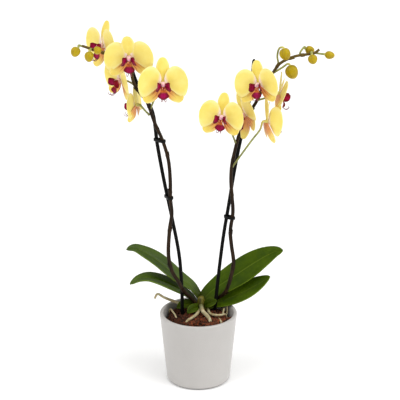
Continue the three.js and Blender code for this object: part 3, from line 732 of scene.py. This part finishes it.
CLIPS = {
    "clip_left_lower": ("stick_left", "stem_left", 337, []),
    "clip_left_middle": ("stick_left", "stem_left", 437, []),
    "clip_left_top": ("stick_left", "stem_left", 584, [(-1, 29, 0.07), (1, 26, 0.15)]),
    "clip_right": ("stick_right", "stem_right", 294, []),
}
CLIP_HEIGHT = 4.5
CLIP_WALL = 1.8
CLIP_GAP = 0.3
TAB_WIDTH = 4


def crossing(points, height):
    """Where a smooth line crosses a height."""
    return min(smooth_line(points, 400)[0], key=lambda point: abs(point.z - height))


def add_band(shape, half, outer):
    """An oval band with softened edges: a ring pulled apart at its middle, raised and given its wall."""
    ring = bmesh.ops.create_circle(shape, segments=40, radius=outer)["verts"]
    for vert in ring:
        vert.co.x += math.copysign(half, vert.co.x)
    edges = list({edge for vert in ring for edge in vert.link_edges})
    raised = bmesh.ops.extrude_edge_only(shape, edges=edges)["geom"]
    upper_ring = [part for part in raised if isinstance(part, bmesh.types.BMVert)]
    bmesh.ops.translate(shape, verts=upper_ring, vec=(0, 0, CLIP_HEIGHT))
    face_outwards(shape)
    bmesh.ops.solidify(shape, geom=shape.faces[:], thickness=CLIP_WALL)


def add_tab(shape, side, length, tilt, outer):
    tab = bmesh.ops.create_cube(shape, size=1)["verts"]
    bmesh.ops.scale(shape, vec=(TAB_WIDTH, CLIP_WALL, length), verts=tab)
    bmesh.ops.translate(shape, vec=(0, 0, length / 2), verts=tab)
    bmesh.ops.rotate(shape, verts=tab, cent=(0, 0, 0), matrix=Matrix.Rotation(-side * tilt, 3, "X"))
    bmesh.ops.translate(shape, vec=(0, side * (outer - CLIP_WALL / 2), 0), verts=tab)


clip_plastic, tree, shader, moulded = new_material(
    "dark_plastic", 0.35, colour(5, 6, 6), colour(14, 15, 15), 300.0, edge=0.3, relief=(0.15, 0.0004)
)
shine = ramp(tree, moulded["Height"], 0.3, 0.7, 0.28, 0.42)
fill_sockets(tree, shader, {"Roughness": shine, "Specular IOR Level": 0.12})
for name, (stick_name, stem_name, height, tabs) in CLIPS.items():
    at_stick = crossing(STICKS[stick_name], height)
    at_stem = crossing(STEMS[stem_name], height)
    outer = STICK_RADIUS + CLIP_GAP + CLIP_WALL
    gap = Vector((at_stem.x - at_stick.x, at_stem.y - at_stick.y, 0))
    shape = new_shape()
    add_band(shape, gap.length / 2, outer)
    for side, length, tilt in tabs:
        add_tab(shape, side, length, tilt, outer)
    bmesh.ops.translate(shape, verts=shape.verts, vec=(0, 0, -CLIP_HEIGHT / 2))
    turn = Matrix.Rotation(math.atan2(gap.y, gap.x), 3, "Z")
    bmesh.ops.rotate(shape, verts=shape.verts, cent=(0, 0, 0), matrix=turn)
    middle = Vector(((at_stick.x + at_stem.x) / 2, (at_stick.y + at_stem.y) / 2, height))
    bmesh.ops.translate(shape, verts=shape.verts, vec=middle)
    sharp = [edge for edge in shape.edges if edge.is_manifold and edge.calc_face_angle() > 0.6]
    bmesh.ops.bevel(
        shape, geom=sharp, affect="EDGES", offset=0.35, offset_type="OFFSET", segments=2, profile=0.5,
        material=-1,
    )
    add_piece(name + "_band", shape, [clip_plastic], [name])


# ---------- Blooms ----------
# Each bloom has two broad petals in front and three narrower sepals behind them, thin and slightly waved,
# soft yellow with a pale heart. It hangs on its own fleshy stalk, which leaves the stem at a joint.

PETAL = dict(reach=40, half=25, claw=0.1, skew=1.15, full=0.42, depth=-0.4, sweep=-5, bend=-3)
PETAL_LOWER_EDGE = dict(half=27, claw=0.12, skew=1.5, full=0.7)
DORSAL = dict(reach=42.5, half=10.5, claw=0.3, skew=1.35, full=0.7, depth=1.7, sweep=1, bend=2)
LATERAL = dict(reach=40, half=12, claw=0.3, skew=1.25, full=0.75, depth=1.7, sweep=0.5, bend=-10)
PETAL_RISE = 14
BLADE_START = 3.8
DORSAL_START = 1
BLADE_THICKNESS = 0.8
CORNER_DROP = 1.2
CREASE_DEPTH = 0.45
PILLOW_DEPTH = 0.5
HUB_RADIUS = 4.8
PEDICEL_RADIUS = 1.6
PEDICEL_TAPER = 4.5

# The middle of each bloom; its yaw, nod and roll in degrees; its size; what its petals' cup and upper
# sepal's lean bring forward; how far its lower sepals spread and twist; and its stalk's line to the stem.
BLOOMS = {
    "left_1": ((-155, 0, 594), (-47, 3, -2), 0.94, -4, -14, (46, 21), [
        (-137, 9, 592), (-124, -8, 587), (-111, -31, 572),
    ]),
    "left_2": ((-109, -54, 585), (0, 16, -2), 0.98, 0, 18, (49, 0), [
        (-105, -39, 586), (-103, -31, 575), (-107, -25, 552),
    ]),
    "left_3": ((-56, -57, 543), (5, 5, 0), 1, 0, 0, (49, 0), [
        (-57, -42, 542), (-65, -28, 525), (-79, -16, 490),
    ]),
    "left_4": ((-128, 3, 536), (-55, 8, 4), 0.9, 0, 0, (49, 0), [
        (-119, 7, 535), (-112, -6, 535), (-104, -22, 534),
    ]),
    "left_5": ((-103, -12, 498), (-108, 4, 4), 0.8, -6, 3, (49, 0), [
        (-93, -17, 497), (-87, -18, 490), (-80, -16, 482),
    ]),
    "right_1": ((38, -45, 486), (-12, 2, 3), 0.92, 0, -15, (49, 0), [
        (45, -24, 474), (53, -10, 455), (62, 3, 430),
    ]),
    "right_2": ((96, -45, 539), (-23, 3, -7), 0.92, 4, 0, (49, 0), [
        (99, -28, 541), (101, -16, 535), (104, -1, 520),
    ]),
    "right_3": ((76, -8, 480), (-55, 4, -32), 0.98, 0, 0, (33, 5), [
        (84, 1, 474), (80, 4, 462), (71, 7, 452),
    ]),
    "right_4": ((133, -8, 515), (92, 20, 4), 0.86, -5, -9, (49, 0), [
        (117, -8, 511), (108, -4, 507), (97, 4, 502),
    ]),
    "right_5": ((113, -30, 475), (106, 2, 0), 0.92, 5, 0, (33, 0), [
        (101, -26, 460), (89, -18, 441), (66, -4, 403), (57, 2, 388),
    ]),
}


def bloom_matrix(name):
    middle, (yaw, nod, roll), *_ = BLOOMS[name]
    turn = Matrix.Rotation(math.radians(yaw), 4, "Z") @ Matrix.Rotation(math.radians(nod), 4, "X")
    return Matrix.Translation(middle) @ turn @ Matrix.Rotation(math.radians(roll), 4, "Y")


def add_tepal(shape, blade, angle, size, cup, lean, waviness, phase, material_index):
    """One petal or sepal: a flat sheet drawn out to the blade's outline, bent, creased and waved."""
    sheet = add_sheet(shape, 22, 30)
    direction, tip = math.radians(angle), math.radians(lean)
    start = DORSAL_START if blade is DORSAL else BLADE_START
    along, across = math.cos(direction), math.sin(direction)
    for vert in sheet:
        t, s = vert.co.x, 0.5 - 0.5 * math.cos(math.pi * (vert.co.y + 1) / 2)
        edge = PETAL_LOWER_EDGE if blade is PETAL and t * along < 0 else blade
        swell = max(0, math.sin(math.pi * s ** edge["skew"])) ** edge["full"]
        outline = (edge["claw"] + (1 - edge["claw"]) * swell) * round_tip(s, 0.96)
        aside = t * outline
        reach = size * (start + (blade["reach"] - start) * s)
        reach -= size * CORNER_DROP * aside ** 2 * s ** 3
        offset = size * edge["half"] * aside
        wave = aside ** 2 * math.sin(5.2 * s + phase + 1.3 * t)
        wave += 0.5 * aside * math.sin(9 * s + 2 * phase)
        crease = CREASE_DEPTH * math.exp(-((t / 0.09) ** 2)) * (1 - s) ** 0.5
        pillow = -PILLOW_DEPTH * (1 - t * t) * math.sin(math.pi * s)
        bend = (blade["sweep"] - cup) * s + blade["bend"] * (s ** 3 + 0.25 * aside ** 2 * s)
        bend = size * (bend + waviness * wave * s + crease + pillow)
        outwards = reach * math.cos(tip) + bend * math.sin(tip)
        backwards = bend * math.cos(tip) - reach * math.sin(tip)
        sideways = along * outwards - across * offset
        vert.co = (sideways, blade["depth"] + backwards, across * outwards + along * offset)
    give_material(sheet, material_index)


# Fine veins that run out along a petal and fork, as a mask.
veins_out, given, taken = new_group("petal_veins", {"Count": 26.0, "Wander": 0.5, "Edge": 0.3}, ["Mask"])
across, _, spread = across_and_along(veins_out)
drift = add_node(veins_out, "TexNoise", {
    "Vector": stretch(veins_out, spread, Vector((3, 5, 1))), "Scale": 1.0, "Detail": 3,
}).outputs[0]
bent = calculate(veins_out, "MULTIPLY", drift, given.outputs["Wander"])
lanes = calculate(veins_out, "MULTIPLY_ADD", across, given.outputs["Count"], bent)
fold = calculate(veins_out, "PINGPONG", lanes, 1.0)
narrow = ramp(veins_out, fold, 0, given.outputs["Edge"], 1, 0)
veins_out.links.new(narrow, taken.inputs["Mask"])


def petal_material(name, body, deep, heart):
    """Soft tissue that is paler at the heart, deeper along its veins, uneven all over, and given a painted
    highlight at its rims.
    """
    material, tree, shader, flesh = new_material(name, 0.5, deep, body, 45.0, edge=0.28)
    across, along, _ = across_and_along(tree)
    fine = place_group(tree, veins_out, Count=30.0, Wander=6.0, Edge=0.35)["Mask"]
    faint = calculate(tree, "MULTIPLY", fine, 0.16)
    veined = blend_colours(tree, faint, flesh["Colour"], deep)
    # Painted highlight: the petal turns paler towards its rims, where the light shows the thin tissue almost
    # white.
    at_edge = ramp(tree, from_midline(tree, across), 0.3, 0.5, 0, 0.55)
    paler = blend_colours(tree, at_edge, veined, colour(253, 242, 172))
    at_heart = ramp(tree, along, 0.1, 0.31, 1, 0)
    fill_sockets(tree, shader, {
        "Base Color": blend_colours(tree, at_heart, paler, heart),
        "Sheen Weight": 0.15, "Specular IOR Level": 0.3,
    })
    raise_surface(tree, shader, fine, 0.12, 0.0006)
    return material, tree, shader


petal_skin, *_ = petal_material(
    "petal", body=colour(248, 231, 130), deep=colour(243, 220, 98), heart=colour(250, 228, 224)
)
dorsal_skin, *_ = petal_material(
    "upper_sepal", body=colour(248, 230, 122), deep=colour(236, 210, 84), heart=colour(240, 218, 120)
)
lateral_skin, tree, shader = petal_material(
    "lower_sepal", body=colour(247, 226, 118), deep=colour(236, 206, 84), heart=colour(220, 142, 72)
)
_, along, _ = across_and_along(tree)
inner = ramp(tree, along, 0.38, 0.72, 0.85, 0)
body = shader.inputs["Base Color"].links[0].from_socket
blushed = blend_colours(tree, inner, body, colour(228, 140, 72))
streaks = place_group(tree, veins_out, Count=9.0, Wander=2.0, Edge=0.42)["Mask"]
streaks = calculate(tree, "MULTIPLY", streaks, inner)
tree.links.new(blend_colours(tree, streaks, blushed, colour(150, 40, 26)), shader.inputs["Base Color"])

pedicel_skin, tree, shader, flesh = new_material(
    "flower_stalk", 0.45, colour(126, 132, 58), colour(160, 162, 86), 120.0, (1, 1, 0.4), 0.2, (0.2, 0.0006)
)
_, along, _ = across_and_along(tree)
near_bloom = ramp(tree, along, 0.0, 0.35, 0.9, 0)
pale = blend_colours(tree, near_bloom, flesh["Colour"], colour(226, 212, 116))
near_stem = ramp(tree, along, 0.6, 1.0, 0, 0.6)
tree.links.new(blend_colours(tree, near_stem, pale, colour(96, 88, 42)), shader.inputs["Base Color"])


def pedicel_radius(distance, length, turn):
    flare = (HUB_RADIUS - PEDICEL_RADIUS) * math.exp(-distance / PEDICEL_TAPER)
    ribs = 1 + 0.05 * math.cos(3 * turn)
    return (PEDICEL_RADIUS + flare) * ribs + 0.5 * math.exp(-((length - distance) / 3) ** 2)


for index, (name, (middle, _, size, cup, lean, (spread, twist), pedicel)) in enumerate(BLOOMS.items()):
    matrix = bloom_matrix(name)
    shape = new_shape()
    for order, (blade, angle, forward, tilt, wave, skin_index) in enumerate([
        (PETAL, PETAL_RISE, cup, 0, 1.0, 0),
        (PETAL, 180 - PETAL_RISE, cup, 0, 1.0, 0),
        (DORSAL, 90, 0, lean, 0.4, 1),
        (LATERAL, 270 + twist + spread, 0, 0, 0.5, 2),
        (LATERAL, 270 + twist - spread, 0, 0, 0.5, 2),
    ]):
        add_tepal(shape, blade, angle, size, forward, tilt, wave, 2.1 * index + 1.7 * order, skin_index)
    bmesh.ops.transform(shape, matrix=matrix, verts=shape.verts)
    skins = [petal_skin, dorsal_skin, lateral_skin]
    piece = add_piece("tepals_" + name, shape, skins, ["bloom_" + name])
    skin_both_sides(piece, BLADE_THICKNESS)
    line = [matrix @ Vector(point) for point in ((0, -1.2, 0), (0, 3, 0), (0, 8, 0))] + list(pedicel)
    add_limb_piece("pedicel_" + name, line, pedicel_radius, 18, 60, pedicel_skin, "bloom_" + name)


# ---------- Lips and columns ----------
# The third petal of each bloom is its lip: two upright side lobes and a wedge-shaped middle lobe that ends in
# two curled tendrils, all deep magenta. An orange callus sits between them, under the pale column.

SIDE_LOBE = dict(half=7.5, claw=0.45, skew=1.3, full=0.6)
MIDDLE_LOBE = dict(half=9, claw=0.36, skew=2.1, full=2.6)
LIP_THICKNESS = 0.9
LIP_FORWARD = 1.8
LOBE_ROWS = 22
RUFFLE = 0.35


def lip_material(name, throat_end, throat_colour, mark_colour):
    """Magenta velvet, darker along its veins, that turns to a marked throat towards the column."""
    material, tree, shader, velvet = new_material(
        name, 0.5, colour(132, 0, 36), colour(172, 2, 84), 120.0, edge=0.2, relief=(0.2, 0.0006)
    )
    across, along, spread = across_and_along(tree)
    at_rim = ramp(tree, from_midline(tree, across), 0.12, 0.46, 0, 0.85)
    rimmed = blend_colours(tree, at_rim, velvet["Colour"], colour(104, 0, 10))
    lines = place_group(tree, veins_out, Count=12.0, Wander=3.0, Edge=0.4)["Mask"]
    striped = blend_colours(tree, calculate(tree, "MULTIPLY", lines, 0.6), rimmed, colour(86, 0, 14))
    cells = add_node(tree, "TexVoronoi", {"Vector": stretch(tree, spread, Vector((9, 12, 1))), "Scale": 1.0})
    dots = ramp(tree, cells.outputs["Distance"], 0.2, 0.4, 1, 0)
    marked = blend_colours(tree, dots, throat_colour, mark_colour)
    throat = ramp(tree, along, throat_end - 0.14, throat_end, 1, 0)
    fill_sockets(tree, shader, {
        "Base Color": blend_colours(tree, throat, striped, marked),
        "Specular IOR Level": 0.15, "Sheen Weight": 0.06, "Sheen Tint": colour(230, 90, 160),
    })
    return material


side_lobe_skin = lip_material("lip_side", 0.2, colour(226, 150, 96), colour(150, 24, 40))
middle_lobe_skin = lip_material("lip_middle", 0.56, colour(214, 122, 48), colour(138, 16, 28))

column_skin, tree, shader, blush = new_material(
    "column", 0.4, colour(232, 186, 196), colour(244, 216, 212), 200.0, edge=0.25, relief=(0.15, 0.0005)
)
_, along, _ = across_and_along(tree)
at_foot = ramp(tree, along, 0.0, 0.5, 0.6, 0)
pinker = blend_colours(tree, at_foot, blush["Colour"], colour(226, 130, 160))
tree.links.new(pinker, shader.inputs["Base Color"])

callus_skin, *_ = new_material(
    "callus", 0.4, colour(238, 164, 96), colour(146, 16, 36), 520.0, (1, 1, 0.22), 0.06, (0.3, 0.0006)
)
tendril_skin, *_ = new_material(
    "tendril", 0.45, colour(92, 16, 48), colour(138, 52, 70), 220.0, edge=0.2, relief=(0.15, 0.0004)
)


def lip_points(points, size):
    return [Vector((x * size, y * size - LIP_FORWARD, z * size)) for x, y, z in points]


def add_lobe(shape, points, lobe, facing, size, cup):
    """A lobe along a bent line, broadened to its outline and hollowed like a spoon; gives its corners."""
    line, _ = smooth_line(lip_points(points, size), LOBE_ROWS)
    side = Vector(facing).normalized()
    sheet = add_sheet(shape, 14, LOBE_ROWS)
    for vert in sheet:
        t, share = vert.co.x, (vert.co.y + 1) / 2
        row = round(share * LOBE_ROWS)
        tangent = (line[min(row + 1, LOBE_ROWS)] - line[max(row - 1, 0)]).normalized()
        normal = tangent.cross(side).normalized()
        swell = max(0, math.sin(math.pi * share ** lobe["skew"])) ** lobe["full"]
        end = round_tip(share, 0.93)
        width = size * lobe["half"] * (lobe["claw"] + (1 - lobe["claw"]) * swell) * end
        hollow = (t * end) ** 2 * (cup + RUFFLE * math.sin(11 * share))
        vert.co = line[row] + side * width * t + normal * hollow * size
    return sheet


def add_callus(shape, size):
    """Two fleshy knobs side by side on the throat of the lip."""
    for side in (-1, 1):
        knob = bmesh.ops.create_uvsphere(shape, u_segments=14, v_segments=10, radius=1)["verts"]
        for vert in knob:
            x, y, z = vert.co
            vert.co = (2.1 * x + 1.7 * side, 3.2 * y - 7.2, 3.1 * z - 4.9 - 0.4 * y)
            vert.co = lip_points([vert.co], size)[0]
        give_material(knob, 1)


def add_column(shape, size):
    """The column, with the rounded cap over its pollen at the end."""
    line = lip_points([(0, 0, 0), (0, -3, 0), (0, -9, 1)], size)
    add_limb(shape, line, lambda distance, length, turn: 4.3 - 0.22 * distance, 20, 14)
    cap = bmesh.ops.create_uvsphere(shape, u_segments=18, v_segments=12, radius=1)["verts"]
    for vert in cap:
        x, y, z = vert.co
        vert.co = lip_points([(2.1 * x, 2.4 * y - 8.6, 2.0 * z + 1.2)], size)[0]


def tendril_radius(distance, length, turn):
    return 0.65 - 0.3 * distance / length


for name, (_, _, size, *_) in BLOOMS.items():
    matrix = bloom_matrix(name)
    shape = new_shape()
    for side in (-1, 1):
        side_line = [
            (2 * side, -3, -2.4), (5.5 * side, -7, -3), (8.8 * side, -12, -1.5), (9.5 * side, -18, 1.5),
        ]
        add_lobe(shape, side_line, SIDE_LOBE, (-0.2 * side, 0.1, 1), size, -1.2 * side)
    middle_line = [(0, -2.6, -2), (0, -7.5, -8.5), (0, -11.5, -15), (0, -12, -22.5)]
    give_material(add_lobe(shape, middle_line, MIDDLE_LOBE, (1, 0, 0), size, 1.4), 1)
    bmesh.ops.transform(shape, matrix=matrix, verts=shape.verts)
    piece = add_piece("lip_lobes_" + name, shape, [side_lobe_skin, middle_lobe_skin], ["lip_" + name])
    skin_both_sides(piece, LIP_THICKNESS)
    shape = new_shape()
    add_column(shape, size)
    add_callus(shape, size)
    for side in (-1, 1):
        curl = [
            (0.9 * side, -12, -20.5), (2 * side, -15.5, -23), (3.2 * side, -20, -23),
            (3.8 * side, -23.5, -19.5), (3.6 * side, -23, -16),
        ]
        add_limb(shape, lip_points(curl, size), tendril_radius, 8, 30, 2)
    bmesh.ops.transform(shape, matrix=matrix, verts=shape.verts)
    face_outwards(shape)
    add_piece("column_" + name, shape, [column_skin, callus_skin, tendril_skin], ["lip_" + name])


# ---------- Buds ----------
# Past the blooms each stem carries closed buds that grow smaller to its tip. Their outer sepals meet in
# three shallow seams, olive yellow, waxy, and greener at the foot, each on a short bent stalk.

BUDS = {
    "left_1": ((-193, -52, 593), 7.6, 8.2, (-0.5, 0, -0.85), [(-188, -50, 603), (-181, -48, 601)]),
    "left_2": ((-171, -60, 587), 7.2, 8.4, (-0.1, -0.15, -0.98), [(-169, -56, 598), (-169, -48, 597)]),
    "left_3": ((-158, -59, 597), 6.2, 6.8, (-0.2, -0.9, 0.2), [(-157, -50, 595), (-157, -47, 593)]),
    "right_1": ((139, -28, 585), 9, 9.8, (0.3, 0, -0.95), [
        (130, -24, 594), (127, -18, 580), (130, -14, 565),
    ]),
    "right_2": ((151, -23, 555), 10.4, 11.6, (0.35, 0, -0.93), [
        (144, -22, 568), (135, -18, 561), (120, -12, 550),
    ]),
    "right_3": ((180, -9, 588), 6.8, 7.6, (0.9, 0.1, -0.3), [
        (171, -13, 594), (165, -17, 588), (162, -19, 581),
    ]),
    "right_4": ((183, -31, 577), 7.6, 7.8, (0.2, -0.3, -0.9), [(181, -27, 588), (180, -20, 584)]),
    "right_5": ((211, -20, 582), 6.4, 8, (1, 0, -0.15), [(196, -20, 584), (188, -20, 585)]),
}


def add_bud(shape, middle, radius, length, direction):
    body = bmesh.ops.create_uvsphere(shape, u_segments=36, v_segments=22, radius=1, calc_uvs=True)["verts"]
    turn = Vector((0, 0, 1)).rotation_difference(direction)
    for vert in body:
        x, y, z = vert.co
        angle = math.atan2(y, x)
        ridge = math.cos(3 * angle)
        seam = math.exp(-(((1 + ridge) / 0.12) ** 2))
        girth = radius * (1 + 0.05 * ridge - 0.05 * seam * (1 - abs(z))) * (1 - 0.12 * z)
        vert.co = Vector(middle) + turn @ Vector((x * girth, y * girth, z * length))


bud_skin, tree, shader, waxy = new_material(
    "bud", 0.4, colour(148, 130, 0), colour(186, 166, 0), 90.0, edge=0.25, relief=(0.2, 0.0008)
)
across, along, _ = across_and_along(tree)
foot_green = ramp(tree, along, 0.0, 0.45, 0.7, 0)
greened = blend_colours(tree, foot_green, waxy["Colour"], colour(136, 128, 8))
sunned = ramp(tree, uneven(tree, 3200, 2), 0.53, 0.64, 0, 0.7)
blushed = blend_colours(tree, sunned, greened, colour(206, 140, 30))
lanes = calculate(tree, "PINGPONG", calculate(tree, "MULTIPLY", across, 6.0), 1.0)
seams = ramp(tree, lanes, 0, 0.16, 0.45, 0)
fill_sockets(tree, shader, {
    "Base Color": blend_colours(tree, seams, blushed, colour(122, 92, 20)),
    "Specular IOR Level": 0.2, "Coat Weight": 0.06,
})


def bud_stalk_radius(distance, length, turn):
    return PEDICEL_RADIUS + 1.2 * math.exp(-distance / 3)


for name, (middle, radius, length, axis, pedicel) in BUDS.items():
    direction = Vector(axis).normalized()
    shape = new_shape()
    add_bud(shape, middle, radius, length, direction)
    face_outwards(shape)
    add_piece("bud_skin_" + name, shape, [bud_skin], ["bud_" + name])
    line = [Vector(middle) - direction * share * length for share in (0.7, 1.12)] + list(pedicel)
    add_limb_piece("bud_stalk_" + name, line, bud_stalk_radius, 14, 30, pedicel_skin, "bud_" + name)
